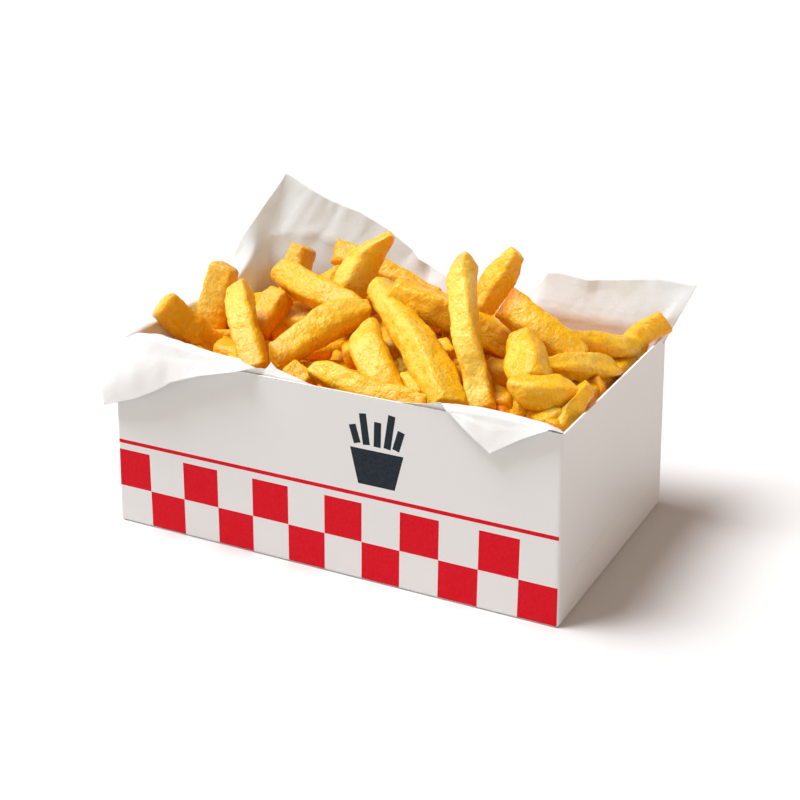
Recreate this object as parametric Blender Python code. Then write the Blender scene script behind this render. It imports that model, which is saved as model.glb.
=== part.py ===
"""French fries heaped in a folded paperboard carton lined with a sheet of greaseproof paper.

Metres, +Z up. The origin is the middle of the carton's underside, the long front panel faces -Y.
Three solids: the carton (one folded board blank with its glue flaps), the paper liner (one sheet
whose edges stand up or fold over the rim) and the fries (one heap out to its uneven outline).
"""

import math

import bmesh
import bpy
import numpy as np
from mathutils import Vector

MM = 0.001

# Carton: outside size at the foot, how far each wall leans in at the rim, and the board.
LENGTH = 156 * MM
WIDTH = 94 * MM
HEIGHT = 61 * MM
LEAN = 1.4 * MM
BOARD = 0.6 * MM
FOLD_RADIUS = 1.0 * MM

# Glue flaps of the long panels inside the short walls: board, reach from the front and from the back
# corner, height of the lower and the upper edge, and radius of the lower corner at the free end.
FLAP_BOARD = 0.5 * MM
FLAP_REACHES = {-1: 74 * MM, 1: 14 * MM}
FLAP_FOOT = 13 * MM
FLAP_HEAD = 58 * MM
FLAP_CORNER = 13 * MM
FLAP_CORNER_STEPS = 6
FLAP_SUNK = 0.1 * MM

# Paper: its thickness here, its clearance from the board, and its own bends.
PAPER = 0.35 * MM
GAP = 0.35 * MM
CORNER_RADIUS = 6 * MM
FLOOR_RADIUS = 4 * MM
BEND_RADIUS = 1.5 * MM

# The free edge of the paper, going round the rim from the middle of the front to the right, in mm:
# (side, place along it, height above the rim where the paper bends, where its edge ends up).
# The edge runs straight from one place to the next. At a corner the place is in degrees.
PAPER_EDGE = [
    ("front", 0, -3.0, (0, -44.6, 60)),
    ("front", 20, -2.0, (20, -44.6, 60.5)),
    ("front", 30, 0.4, (33, -45.4, 63)),
    ("front", 37, 1.2, (39, -46.6, 63.8)),
    ("front", 46, 1.7, (47.5, -49.4, 58)),
    ("front", 55, 1.7, (55.4, -49.8, 51.9)),
    ("front", 65, 1.5, (65, -49.4, 58.2)),
    ("front", 70, 1.0, (70, -47.2, 62.8)),
    ("right", -38, -6.0, (75.3, -38, 57)),
    ("right", 36, -6.0, (75.3, 36, 57)),
    ("back right corner", 15, 0.5, (75.6, 42.5, 62.4)),
    ("back right corner", 60, 0.5, (83.0, 51.5, 76.8)),
    ("back", 68, 0.5, (71.5, 51.5, 77.5)),
    ("back", 50, 0.5, (51.5, 50.5, 74.6)),
    ("back", 33, 0.5, (33, 50.5, 74.3)),
    ("back", 28, 0.5, (28.5, 49.0, 67.5)),
    ("back", 21, 0.4, (21, 44.8, 62.4)),
    ("back", 6, 0.4, (6, 44.8, 62.4)),
    ("back", -2, 0.5, (-4, 48.0, 67.2)),
    ("back", -13, 4.5, (-13.8, 48.0, 72.9)),
    ("back", -29, 9.0, (-27.9, 49.5, 82.3)),
    ("back", -54, 15.0, (-50.3, 49.5, 89.7)),
    ("back left corner", 45, 15.0, (-68.2, 50.5, 96.6)),
    ("left", 37, 10.0, (-81.2, 38.5, 73.6)),
    ("left", 26, 2.0, (-80.5, 26.6, 63)),
    ("left", 18, 1.2, (-80.8, 18, 58)),
    ("left", -30, 1.2, (-80.8, -30, 50)),
    ("front left corner", 15, 1.2, (-81.2, -41, 43)),
    ("front left corner", 60, 1.6, (-79, -48.8, 41.6)),
    ("front", -66, 3.0, (-66, -49.8, 47)),
    ("front", -57, 3.8, (-57.2, -49.8, 51.6)),
    ("front", -42, 3.2, (-41.8, -49.4, 58.6)),
    ("front", -30, 2.6, (-28, -49, 62.4)),
    ("front", -20, 0.8, (-20, -45.6, 63.2)),
    ("front", -6, -2.0, (-6, -44.8, 60.6)),
]
STRAIGHT_STEPS = {"front": 26, "right": 6, "back": 24, "left": 10}
CORNER_STEPS = 6
FLOOR_REACH = 30 * MM
BEND_STEPS = 4
LEAST_TURN = math.radians(3)
LEAST_STRAIGHT = 0.8 * MM

# Fries: clearance from the paper, the sides of a fry and how narrow its ends are chamfered. Then each
# fry as its two ends, its thickness and its bow, in mm.
# The bow is how far the middle of a bent fry stands out, sideways to it and as near upwards as can be.
FRY_GAP = 0.5 * MM
FRY_SIDES = 8
FRY_END_SHARE = 0.6
FRIES = [
    # Front row, from left to right.
    ((-56, -11, 47), (-73, -26, 71), 10.5, 0),
    ((-31, -33, 55), (-52, -10, 74), 9.0, 1),
    ((-26, -35, 58), (-8, -7, 72), 9.0, 1),
    ((-11, -36, 62), (28, -28, 53), 7.0, 1),
    ((18, -35, 56), (1, -16, 74), 10.0, 0),
    ((-8, 6, 76), (36, -36, 59), 10.5, 3),
    ((45, -29, 57), (26, -3, 96), 9.0, 1.5),
    ((54, -34, 68), (70, -22, 62), 8.0, 0),
    ((58, -24, 58), (69, -34, 58), 9.0, 0),
    ((69, -34, 55), (74, -22, 69), 9.0, 0),
    # Middle of the heap, from left to right.
    ((-68, 0, 45), (-64, -2, 77), 10.5, 4),
    ((-56, -13, 58), (-43, -24, 57), 8.0, 0),
    ((-46, -11, 58), (-44, 5, 70), 9.0, 0),
    ((-45, -8, 57), (-40, 19, 60), 9.0, 0),
    ((-49, 10, 74), (-11, -2, 69), 10.0, 0),
    ((-30, -8, 57), (-16, 0, 57), 8.0, 0),
    ((2, -2, 79), (43, 4, 64), 10.0, 0),
    ((49, -10, 76), (60, -28, 65), 11.0, 0),
    ((38, 2, 80), (65, 0, 65), 9.0, 1),
    ((58, -19, 70), (70, 6, 57), 8.0, 3.5),
    # Back of the heap, from left to right.
    ((-54, 28, 62), (-50, 29, 80), 9.0, 0),
    ((-40, 30, 78), (-4, 29, 62), 8.5, 1),
    ((-27, 8, 62), (-12, 18, 93), 11.0, 0),
    ((20, 14, 61), (36, 19, 91), 8.5, 0),
    ((56, 2, 71), (70, 28, 56), 7.0, 2),
    ((68, 28, 59), (78, 40, 70), 8.5, 0),
    # Lower fries that carry the upper ones and show between them, at the sides and at the back.
    ((-66, 14, 56), (-50, 36, 60), 9.0, 0),
    ((-30, 37, 60), (14, 35, 62), 9.0, 1),
    ((0, 20, 62), (34, 36, 58), 9.5, 0),
    ((28, 36, 56), (64, 35, 53), 9.0, 0),
    ((-62, -35, 52), (-36, -37, 54), 9.0, 0),
    ((-64, 36, 54), (-30, 24, 61), 9.0, 0),
    ((16, 2, 64), (50, 20, 61), 9.5, 0),
    ((-20, 32, 62), (-34, 10, 62), 9.0, 0),
    ((-62, 2, 56), (-28, 5, 60), 9.0, 0),
    ((46, 22, 60), (20, 39, 59), 9.0, 0),
    ((-8, -20, 61), (14, -6, 64), 9.0, 0),
    ((-60, -20, 53), (-68, -35, 51), 8.0, 0),
    ((34, -16, 61), (62, 2, 60), 9.0, 0),
    ((68, 10, 54), (64, -12, 58), 8.5, 0),
    ((-2, 32, 63), (8, 8, 66), 9.0, 0),
    ((-68, 6, 54), (-56, 22, 59), 8.5, 0),
    ((69, -38, 55), (69, -6, 56), 9.0, 0),
    ((69, -2, 55), (69, 30, 54), 9.0, 0),
]

# The bulk of the heap under the fries: (how far in from the paper, height) of its rings, in mm, and
# how much lower it lies in the corners: back right and front left.
BULK_RINGS = [(0, 48), (3, 53), (9, 58), (18, 62), (30, 65)]
BULK_FALL = 7 * MM
BULK_FOOT_RADIUS = 5 * MM


def clear_scene():
    for obj in list(bpy.data.objects):
        bpy.data.objects.remove(obj, do_unlink=True)


def material(name, colour, roughness):
    made = bpy.data.materials.new(name)
    made.use_nodes = True
    shader = made.node_tree.nodes["Principled BSDF"]
    shader.inputs["Base Color"].default_value = (*colour, 1.0)
    shader.inputs["Roughness"].default_value = roughness
    shader.inputs["Metallic"].default_value = 0.0
    return made


def add_object(name, bm, finish=None):
    """Turns a bmesh into a named object with its faces pointing out."""
    bmesh.ops.recalc_face_normals(bm, faces=bm.faces)
    mesh = bpy.data.meshes.new(name)
    bm.to_mesh(mesh)
    bm.free()
    obj = bpy.data.objects.new(name, mesh)
    bpy.context.scene.collection.objects.link(obj)
    if finish:
        mesh.materials.append(finish)
    return obj


# ---------------------------------------------------------------- carton


def leaning_box(half_x, half_y, height):
    """A bmesh box on the ground whose walls lean in by LEAN at the top."""
    bm = bmesh.new()
    bmesh.ops.create_cube(bm, size=2.0)
    for vert in bm.verts:
        lean = LEAN if vert.co.z > 0 else 0.0
        vert.co.x *= half_x - lean
        vert.co.y *= half_y - lean
        vert.co.z = height if vert.co.z > 0 else 0.0
    return bm


def make_tray():
    """The open tray: floor and four walls of one board, with rounded folds."""
    bm = leaning_box(LENGTH / 2, WIDTH / 2, HEIGHT)
    top = max(bm.faces, key=lambda face: face.calc_center_median().z)
    bmesh.ops.delete(bm, geom=[top], context="FACES_ONLY")
    folds = [edge for edge in bm.edges if not edge.is_boundary]
    bmesh.ops.bevel(bm, geom=folds, offset=FOLD_RADIUS, segments=3, profile=0.5, affect="EDGES")
    tray = add_object("carton", bm, material("white board", (0.80, 0.79, 0.77), 0.45))
    board = tray.modifiers.new("board", "SOLIDIFY")
    board.thickness = BOARD
    board.offset = -1.0
    board.use_even_offset = True
    return tray


def flap_outline(reach):
    """A glue flap's outline as (distance from its fold, height): the lower corner of its end is round."""
    radius = min(FLAP_CORNER, reach)
    outline = [(0.0, FLAP_FOOT)]
    for step in range(FLAP_CORNER_STEPS + 1):
        turn = math.radians(90 * step / FLAP_CORNER_STEPS)
        along = reach - radius + radius * math.sin(turn)
        outline.append((along, FLAP_FOOT + radius - radius * math.cos(turn)))
    outline.append((reach, FLAP_HEAD))
    outline.append((0.0, FLAP_HEAD))
    return outline


def make_glue_flap(name, side_x, side_y):
    """A flap of the front or back panel, folded round the corner and glued inside the end wall."""
    inner_x = LENGTH / 2 - BOARD
    inner_y = WIDTH / 2 - BOARD
    outline = flap_outline(FLAP_REACHES[side_y])
    bm = bmesh.new()
    rows = []
    for depth in (-FLAP_SUNK, FLAP_BOARD):
        row = []
        for along, z in outline:
            lean = LEAN * z / HEIGHT
            x = side_x * (inner_x - lean - depth)
            y = side_y * (inner_y - lean + FLAP_SUNK - along)
            row.append(bm.verts.new((x, y, z)))
        rows.append(row)
    bm.faces.new(rows[0])
    bm.faces.new(rows[1])
    count = len(outline)
    for here in range(count):
        after = (here + 1) % count
        bm.faces.new((rows[0][here], rows[0][after], rows[1][after], rows[1][here]))
    flap = add_object(name, bm)
    flap.hide_render = True
    flap.display_type = "WIRE"
    return flap


def make_carton():
    tray = make_tray()
    for side_x, side_y in ((1, 1), (1, -1), (-1, 1), (-1, -1)):
        flap = make_glue_flap(f"flap_{side_x}_{side_y}", side_x, side_y)
        glued = tray.modifiers.new("glued flap", "BOOLEAN")
        glued.operation = "UNION"
        glued.object = flap
    return tray


# ---------------------------------------------------------------- paper and heap outline


def perimeter():
    """Points round the inside of the carton at its foot, as (point, outward normal, side, place).

    They go round from the middle of the front, to the right, on a rectangle with round corners.
    """
    half_x = LENGTH / 2 - BOARD - FLAP_BOARD - GAP
    half_y = WIDTH / 2 - BOARD - GAP
    flat_x = half_x - CORNER_RADIUS
    flat_y = half_y - CORNER_RADIUS
    sides = (
        ("front", "front right corner", (0, -1), (1, 0), flat_x, flat_y),
        ("right", "back right corner", (1, 0), (0, 1), flat_y, flat_x),
        ("back", "back left corner", (0, 1), (-1, 0), flat_x, flat_y),
        ("left", "front left corner", (-1, 0), (0, -1), flat_y, flat_x),
    )
    found = []
    for name, corner, normal, along, reach, away in sides:
        normal = Vector((*normal, 0))
        along = Vector((*along, 0))
        steps = STRAIGHT_STEPS[name]
        for step in range(steps + 1):
            place = reach * (2 * step / steps - 1)
            point = along * place + normal * (away + CORNER_RADIUS)
            found.append((point, normal, name, place * (along.x + along.y) / MM))
        centre = along * reach + normal * away
        for step in range(CORNER_STEPS + 1):
            degrees = 90 * step / CORNER_STEPS
            turn = math.radians(degrees)
            out = normal * math.cos(turn) + along * math.sin(turn)
            if 0 < step < CORNER_STEPS:
                found.append((centre + out * CORNER_RADIUS, out, corner, degrees))
    return found


def walk_length(points):
    """The distance along a closed loop of points, from the first one."""
    walked = [0.0]
    for before, after in zip(points, points[1:]):
        walked.append(walked[-1] + (after - before).length)
    return walked


def paper_edge_along(loop):
    """Where the paper bends and where its edge is, at each point of the loop: (heights, edges)."""
    walked = walk_length([point for point, *_ in loop])
    total = walked[-1] + (loop[0][0] - loop[-1][0]).length
    knots = []
    for side, place, height, edge in PAPER_EDGE:
        on_side = [
            (abs(here - place), distance)
            for (_, _, name, here), distance in zip(loop, walked)
            if name == side
        ]
        knots.append((min(on_side)[1], height, *edge))
    knots = np.array(sorted(knots))
    found = [np.interp(walked, knots[:, 0], knots[:, column] * MM, period=total) for column in range(1, 5)]
    return found[0], np.stack(found[1:], axis=1)


def fold_over(out, up):
    """(angle turned, straight length after it) of a bend from (0, 0), going up, that ends at (out, up)."""
    far = math.hypot(out - BEND_RADIUS, up)
    straight = math.sqrt(max(far * far - BEND_RADIUS * BEND_RADIUS, LEAST_STRAIGHT * LEAST_STRAIGHT))
    turned = math.atan2(up, BEND_RADIUS - out) % (2 * math.pi) - math.atan2(straight, BEND_RADIUS)
    return max(turned, LEAST_TURN), straight


def paper_profile(height, out, up):
    """The paper's section from the floor to its edge: (outward, z) pairs of its face that meets the board.

    It bends at this height above the rim and ends this far out from the bend and this far up from it.
    """
    floor = GAP + BOARD
    pairs = [(-FLOOR_REACH, floor)]
    for step in range(3):
        turn = math.radians(45 * step)
        pairs.append((-FLOOR_RADIUS * (1 - math.sin(turn)), floor + FLOOR_RADIUS * (1 - math.cos(turn))))
    bend_z = HEIGHT + height
    pairs.append((0.0, (bend_z + floor + FLOOR_RADIUS) / 2))
    pairs.append((0.0, bend_z))
    turned, straight = fold_over(out, up)
    for step in range(1, BEND_STEPS + 1):
        turn = turned * step / BEND_STEPS
        pairs.append((BEND_RADIUS * (1 - math.cos(turn)), bend_z + BEND_RADIUS * math.sin(turn)))
    last_out, last_z = pairs[-1]
    pairs.append((last_out + straight * math.sin(turned), last_z + straight * math.cos(turned)))
    return pairs


def section_normals(pairs):
    """Unit normals of a section, pointing to its inner side: left of its direction, up from the floor."""
    normals = []
    for here in range(len(pairs)):
        before = pairs[max(here - 1, 0)]
        after = pairs[min(here + 1, len(pairs) - 1)]
        step_out = after[0] - before[0]
        step_up = after[1] - before[1]
        length = math.hypot(step_out, step_up)
        normals.append((-step_up / length, step_out / length))
    return normals


def column_points(point, normal, pairs, shift):
    """Places a section at one point of the perimeter, leaning with the wall, its free end moved by shift."""
    placed = []
    first_free = len(pairs) - BEND_STEPS - 1
    for number, (out, z) in enumerate(pairs):
        lean = LEAN * min(max(z, 0.0), HEIGHT) / HEIGHT if number < first_free else LEAN
        share = max(number - first_free + 1, 0) / (BEND_STEPS + 1)
        placed.append(point + normal * (out - lean) + Vector((0, 0, z)) + shift * share**3)
    return placed


def bridge_columns(bm, columns):
    """Faces between neighbouring columns of vertices, round a closed loop."""
    for here, column in enumerate(columns):
        after = columns[(here + 1) % len(columns)]
        for row in range(len(column) - 1):
            bm.faces.new((column[row], after[row], after[row + 1], column[row + 1]))


def make_liner():
    """The paper: two skins a sheet's thickness apart, joined along the free edge."""
    loop = perimeter()
    heights, edges = paper_edge_along(loop)
    bm = bmesh.new()
    board_side = []
    food_side = []
    for (point, normal, _, _), height, edge in zip(loop, heights, edges):
        bend = point - normal * LEAN + Vector((0, 0, HEIGHT + height))
        reach = Vector(edge) - bend
        out = reach.dot(normal)
        shift = Vector((reach.x, reach.y, 0)) - normal * out
        pairs = paper_profile(height, out, reach.z)
        normals = section_normals(pairs)
        inner = [(out + n[0] * PAPER, z + n[1] * PAPER) for (out, z), n in zip(pairs, normals)]
        board_side.append([bm.verts.new(co) for co in column_points(point, normal, pairs, shift)])
        food_side.append([bm.verts.new(co) for co in column_points(point, normal, inner, shift)])
    bridge_columns(bm, board_side)
    bridge_columns(bm, food_side)
    bridge_columns(bm, [[under[-1], over[-1]] for under, over in zip(board_side, food_side)])
    for skin in (board_side, food_side):
        bm.faces.new([column[0] for column in skin])
    bmesh.ops.triangulate(bm, faces=bm.faces)
    return add_object("liner", bm, material("greaseproof paper", (0.86, 0.84, 0.80), 0.6))


def fry_rings(length, radius, bow):
    """Where a fry's rings lie along it and their share of its thickness: chamfered ends, more if bent."""
    chamfer = radius / 2
    rings = [(0.0, FRY_END_SHARE), (chamfer, 1.0)]
    if bow:
        rings += [(length * step / 4, 1.0) for step in (1, 2, 3)]
    return rings + [(length - chamfer, 1.0), (length, FRY_END_SHARE)]


def make_fry(name, start, end, thick, bow):
    """One fry: a stick with a rounded square section and chamfered ends, bent by its bow."""
    start = Vector(start) * MM
    end = Vector(end) * MM
    radius = thick * MM / 2
    length = (end - start).length
    axis = (end - start).normalized()
    upward = (Vector((0, 0, 1)) - axis * axis.z).normalized()
    sideways = axis.cross(upward)
    bm = bmesh.new()
    loops = []
    for along, share in fry_rings(length, radius, bow):
        rise = bow * MM * 4 * (along / length) * (1 - along / length)
        centre = start + axis * along + upward * rise
        loop = []
        for side in range(FRY_SIDES):
            angle = 2 * math.pi * (side + 0.5) / FRY_SIDES
            across = upward * math.cos(angle) + sideways * math.sin(angle)
            loop.append(bm.verts.new(centre + across * radius * share))
        loops.append(loop)
    bm.faces.new(loops[0])
    bm.faces.new(loops[-1])
    for before, after in zip(loops, loops[1:]):
        for side in range(FRY_SIDES):
            other = (side + 1) % FRY_SIDES
            bm.faces.new((before[side], before[other], after[other], after[side]))
    fry = add_object(name, bm)
    fry.hide_render = True
    fry.display_type = "WIRE"
    return fry


def make_bulk():
    """The bulk of the heap: rings that follow the inside of the paper, then step in to a low mound."""
    foot = BOARD + GAP + PAPER + FRY_GAP
    rings = [(BULK_FOOT_RADIUS, foot), (0.0, foot + BULK_FOOT_RADIUS)]
    rings += [(inset * MM, z * MM) for inset, z in BULK_RINGS]
    bm = bmesh.new()
    columns = []
    for point, *_ in perimeter():
        corner = point.x * point.y / (LENGTH * WIDTH / 4)
        column = []
        for inset, z in rings:
            inward = PAPER + FRY_GAP + inset + LEAN * z / HEIGHT
            x = point.x * (1 - 2 * inward / LENGTH)
            y = point.y * (1 - 2 * inward / WIDTH)
            fall = BULK_FALL * max(corner, 0.0) if z > foot + BULK_FOOT_RADIUS else 0.0
            column.append(bm.verts.new((x, y, z - fall)))
        columns.append(column)
    bridge_columns(bm, columns)
    bm.faces.new([column[0] for column in columns])
    middle = bm.verts.new((0, 0, rings[-1][1]))
    for here, column in enumerate(columns):
        bm.faces.new((column[-1], columns[(here + 1) % len(columns)][-1], middle))
    return add_object("fries", bm, material("fried potato", (0.90, 0.56, 0.10), 0.5))


def make_heap():
    """The heap: its bulk inside the paper, united with every fry that shapes its outline."""
    heap = make_bulk()
    for number, fry_facts in enumerate(FRIES):
        united = heap.modifiers.new(f"fry {number:02d}", "BOOLEAN")
        united.operation = "UNION"
        united.object = make_fry(f"fry_{number:02d}", *fry_facts)
    return heap


clear_scene()
make_carton()
make_liner()
make_heap()
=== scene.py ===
"""Looks of the french fries in their paper-lined carton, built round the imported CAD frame.

Metres, +Z up; the long front panel faces -Y. The board keeps its CAD node. The paper is one wrinkled
sheet and the heap is single fries over a small core.
"""

import collections
import math
import random

import bmesh
import bpy
import numpy as np
from mathutils import Euler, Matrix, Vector, noise


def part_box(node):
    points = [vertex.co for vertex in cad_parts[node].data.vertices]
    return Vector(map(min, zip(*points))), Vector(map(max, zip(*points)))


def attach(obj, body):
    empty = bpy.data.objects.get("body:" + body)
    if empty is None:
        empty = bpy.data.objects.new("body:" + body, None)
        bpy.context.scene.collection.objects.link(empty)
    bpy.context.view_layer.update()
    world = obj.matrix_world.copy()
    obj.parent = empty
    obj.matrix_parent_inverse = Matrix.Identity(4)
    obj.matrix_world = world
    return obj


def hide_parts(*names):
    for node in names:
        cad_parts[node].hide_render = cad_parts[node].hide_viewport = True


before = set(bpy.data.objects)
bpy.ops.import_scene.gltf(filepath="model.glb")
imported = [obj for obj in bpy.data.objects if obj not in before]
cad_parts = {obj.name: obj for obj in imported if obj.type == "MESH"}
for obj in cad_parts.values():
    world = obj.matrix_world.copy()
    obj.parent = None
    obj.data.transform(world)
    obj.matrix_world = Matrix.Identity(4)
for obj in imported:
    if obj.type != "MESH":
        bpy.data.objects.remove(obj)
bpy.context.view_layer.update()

MM = 0.001
CARTON_LOW, CARTON_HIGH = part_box("carton")
LENGTH = CARTON_HIGH.x - CARTON_LOW.x
WIDTH = CARTON_HIGH.y - CARTON_LOW.y
HEIGHT = CARTON_HIGH.z
LEAN = 1.4 * MM

# ---------------------------------------------------------------- camera, light and floor

CAMERA_PLACE = (0.2155, -0.4187, 0.2348)
CAMERA_DOWN = math.radians(22.44)
CAMERA_TURN = math.radians(26.97)
CAMERA_LENS = 70.0


def make_camera():
    data = bpy.data.cameras.new("camera")
    data.lens = CAMERA_LENS
    data.sensor_width = 36.0
    data.clip_start = 0.01
    data.clip_end = 20.0
    camera = bpy.data.objects.new("camera", data)
    camera.location = CAMERA_PLACE
    camera.rotation_euler = Euler((math.pi / 2 - CAMERA_DOWN, 0, CAMERA_TURN))
    bpy.context.scene.collection.objects.link(camera)
    bpy.context.scene.camera = camera


KEY_STRENGTH = 4.0
KEY_SPREAD = math.radians(30)
KEY_HEIGHT = math.radians(62)
KEY_TURN = math.radians(-70)
KEY_COLOUR = (0.97, 1.0, 1.03)
SKY_ZENITH = (0.275, 0.185, 0.140)
SKY_HORIZON = (1.45, 1.50, 1.40)
SKY_WARM = (1.76, 1.50, 1.24)
SKY_BAND = 0.42


def make_light():
    """A high soft key from the left, and a dim studio, bright along the horizon and warm on the right."""
    key = bpy.data.lights.new("key", "SUN")
    key.energy = KEY_STRENGTH
    key.angle = KEY_SPREAD
    key.color = KEY_COLOUR
    lamp = bpy.data.objects.new("key", key)
    lamp.rotation_euler = Euler((math.pi / 2 - KEY_HEIGHT, 0, KEY_TURN))
    bpy.context.scene.collection.objects.link(lamp)
    world = bpy.data.worlds.new("studio")
    world.use_nodes = True
    nodes = world.node_tree.nodes
    links = world.node_tree.links
    toward = nodes.new("ShaderNodeTexCoord")
    split = nodes.new("ShaderNodeSeparateXYZ")
    links.new(toward.outputs["Generated"], split.inputs[0])
    rise = nodes.new("ShaderNodeMapRange")
    rise.interpolation_type = "SMOOTHSTEP"
    rise.inputs["From Max"].default_value = SKY_BAND
    links.new(split.outputs["Z"], rise.inputs["Value"])
    rightward = nodes.new("ShaderNodeMapRange")
    rightward.interpolation_type = "SMOOTHSTEP"
    links.new(split.outputs["X"], rightward.inputs["Value"])
    around = nodes.new("ShaderNodeMix")
    around.data_type = "RGBA"
    around.inputs["A"].default_value = (*SKY_HORIZON, 1.0)
    around.inputs["B"].default_value = (*SKY_WARM, 1.0)
    links.new(rightward.outputs["Result"], around.inputs["Factor"])
    blend = nodes.new("ShaderNodeMix")
    blend.data_type = "RGBA"
    links.new(around.outputs["Result"], blend.inputs["A"])
    blend.inputs["B"].default_value = (*SKY_ZENITH, 1.0)
    links.new(rise.outputs["Result"], blend.inputs["Factor"])
    links.new(blend.outputs["Result"], nodes["Background"].inputs["Color"])
    bpy.context.scene.world = world
    bpy.context.scene.view_settings.view_transform = "Standard"


# ---------------------------------------------------------------- shading helpers


class Shade:
    """Short ways to build one material's nodes."""

    def __init__(self, name):
        self.material = bpy.data.materials.new(name)
        self.material.use_nodes = True
        self.tree = self.material.node_tree
        self.shader = self.tree.nodes["Principled BSDF"]
        self.output = self.tree.nodes["Material Output"]

    def node(self, kind, settings=None, **inputs):
        made = self.tree.nodes.new(kind)
        for key, value in (settings or {}).items():
            setattr(made, key, value)
        for key, value in inputs.items():
            self.feed(made.inputs[key.replace("_", " ")], value)
        return made

    def feed(self, socket, value):
        if isinstance(value, bpy.types.NodeSocket):
            self.tree.links.new(value, socket)
        elif hasattr(value, "__len__") and len(value) == 3 and len(socket.default_value) == 4:
            socket.default_value = (*value, 1.0)
        else:
            socket.default_value = value

    def math(self, operation, *values):
        made = self.node("ShaderNodeMath", {"operation": operation})
        for socket, value in zip(made.inputs, values):
            self.feed(socket, value)
        return made.outputs[0]

    def mix(self, factor, first, second):
        made = self.node("ShaderNodeMix", {"data_type": "RGBA"})
        self.feed(made.inputs["Factor"], factor)
        self.feed(made.inputs["A"], first)
        self.feed(made.inputs["B"], second)
        return made.outputs["Result"]

    def place(self):
        return self.node("ShaderNodeTexCoord").outputs["Object"]

    def attribute(self, name):
        return self.node("ShaderNodeAttribute", {"attribute_name": name}).outputs["Fac"]

    def noise(self, where, size, detail=2.0, rough=0.5):
        """Noise from 0 to 1 whose lumps are about size metres across."""
        made = self.node("ShaderNodeTexNoise", Vector=where, Scale=0.6 / size, Detail=detail, Roughness=rough)
        return made.outputs["Fac"]

    def ramp(self, value, low, high, to_low=0.0, to_high=1.0, smooth=True):
        settings = {"interpolation_type": "SMOOTHSTEP" if smooth else "LINEAR"}
        made = self.node("ShaderNodeMapRange", settings)
        for socket, number in zip(made.inputs, (value, low, high, to_low, to_high)):
            self.feed(socket, number)
        return made.outputs["Result"]

    def bump(self, height, distance, strength=1.0, under=None):
        made = self.node("ShaderNodeBump", Height=height, Distance=distance, Strength=strength)
        if under is not None:
            self.feed(made.inputs["Normal"], under)
        return made.outputs["Normal"]


def add_mesh(name, points, faces, finish, smooth=True):
    """A mesh object with one material."""
    mesh = bpy.data.meshes.new(name)
    mesh.from_pydata(points, [], faces)
    mesh.validate()
    mesh.materials.append(finish)
    if smooth:
        mesh.shade_smooth()
    piece = bpy.data.objects.new(name, mesh)
    bpy.context.scene.collection.objects.link(piece)
    return piece


FLOOR_SIZE = 12.0
FLOOR_COLOUR = (0.745, 0.745, 0.745)


def make_floor():
    shade = Shade("studio floor")
    shade.feed(shade.shader.inputs["Base Color"], FLOOR_COLOUR)
    shade.feed(shade.shader.inputs["Roughness"], 0.9)
    shade.feed(shade.shader.inputs["Specular IOR Level"], 0.1)
    half = FLOOR_SIZE / 2
    corners = [(-half, -half, 0), (half, -half, 0), (half, half, 0), (-half, half, 0)]
    add_mesh("floor", corners, [(0, 1, 2, 3)], shade.material, smooth=False)


# ---------------------------------------------------------------- carton

BOARD_WHITE = (0.69, 0.685, 0.68)
# The board's raw cut edge, painted lighter than its faces as a painted highlight along the rim.
BOARD_EDGE_HIGHLIGHT = (0.93, 0.92, 0.90)
INK_RED = (0.60, 0.0015, 0.012)
INK_DARK = (0.014, 0.022, 0.030)
SQUARES_ALONG = 12
SQUARE_ROWS = 2
RULE_GAP = 2.2 * MM
RULE_THICK = 1.3 * MM
SIGN_PLACE = (18 * MM, 32.5 * MM)
SIGN_CUP = (11.5 * MM, 6.2 * MM, 9 * MM)
SIGN_STICKS = [(-6.5, 6.0, -17), (-3.4, 10.0, -8), (0.2, 8.0, 1), (3.5, 11.0, 8), (6.4, 6.5, 16)]
SIGN_STICK_WIDTH = 2.4 * MM
# The glue flap inside each end wall shows through as a faint step: its end, foot and rounded corner.
FLAP_END = 27 * MM
FLAP_FOOT = 14 * MM
FLAP_CORNER = 13 * MM
FLAP_STEP = 0.12 * MM


def board_print(shade, place):
    """Where the print's red and dark inks lie on the front and back panels: (red mask, dark mask).

    A band of checks along the foot under a thin rule, and a plain sign of sticks in a cup.
    """
    axes = shade.node("ShaderNodeSeparateXYZ", Vector=place).outputs
    normal = shade.node("ShaderNodeNewGeometry").outputs["Normal"]
    facing = shade.node("ShaderNodeSeparateXYZ", Vector=normal).outputs["Y"]
    across = shade.math("MULTIPLY", axes["X"], shade.math("SIGN", shade.math("MULTIPLY", facing, -1.0)))
    up = axes["Z"]
    square = LENGTH / SQUARES_ALONG
    column = shade.math("FLOOR", shade.math("DIVIDE", shade.math("ADD", across, LENGTH / 2), square))
    row = shade.math("FLOOR", shade.math("DIVIDE", up, square))
    odd = shade.math("FLOORED_MODULO", shade.math("ADD", column, row), 2.0)
    checks = shade.math("MULTIPLY", odd, shade.math("LESS_THAN", up, square * SQUARE_ROWS))
    rule_up = square * SQUARE_ROWS + RULE_GAP + RULE_THICK / 2
    rule = shade.math("COMPARE", up, rule_up, RULE_THICK / 2)
    panel = shade.math("GREATER_THAN", shade.math("ABSOLUTE", facing), 0.9)
    red = shade.math("MULTIPLY", shade.math("MAXIMUM", checks, rule), panel)
    dark = shade.math("MULTIPLY", sign_mask(shade, across, up), panel)
    return red, dark


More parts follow.
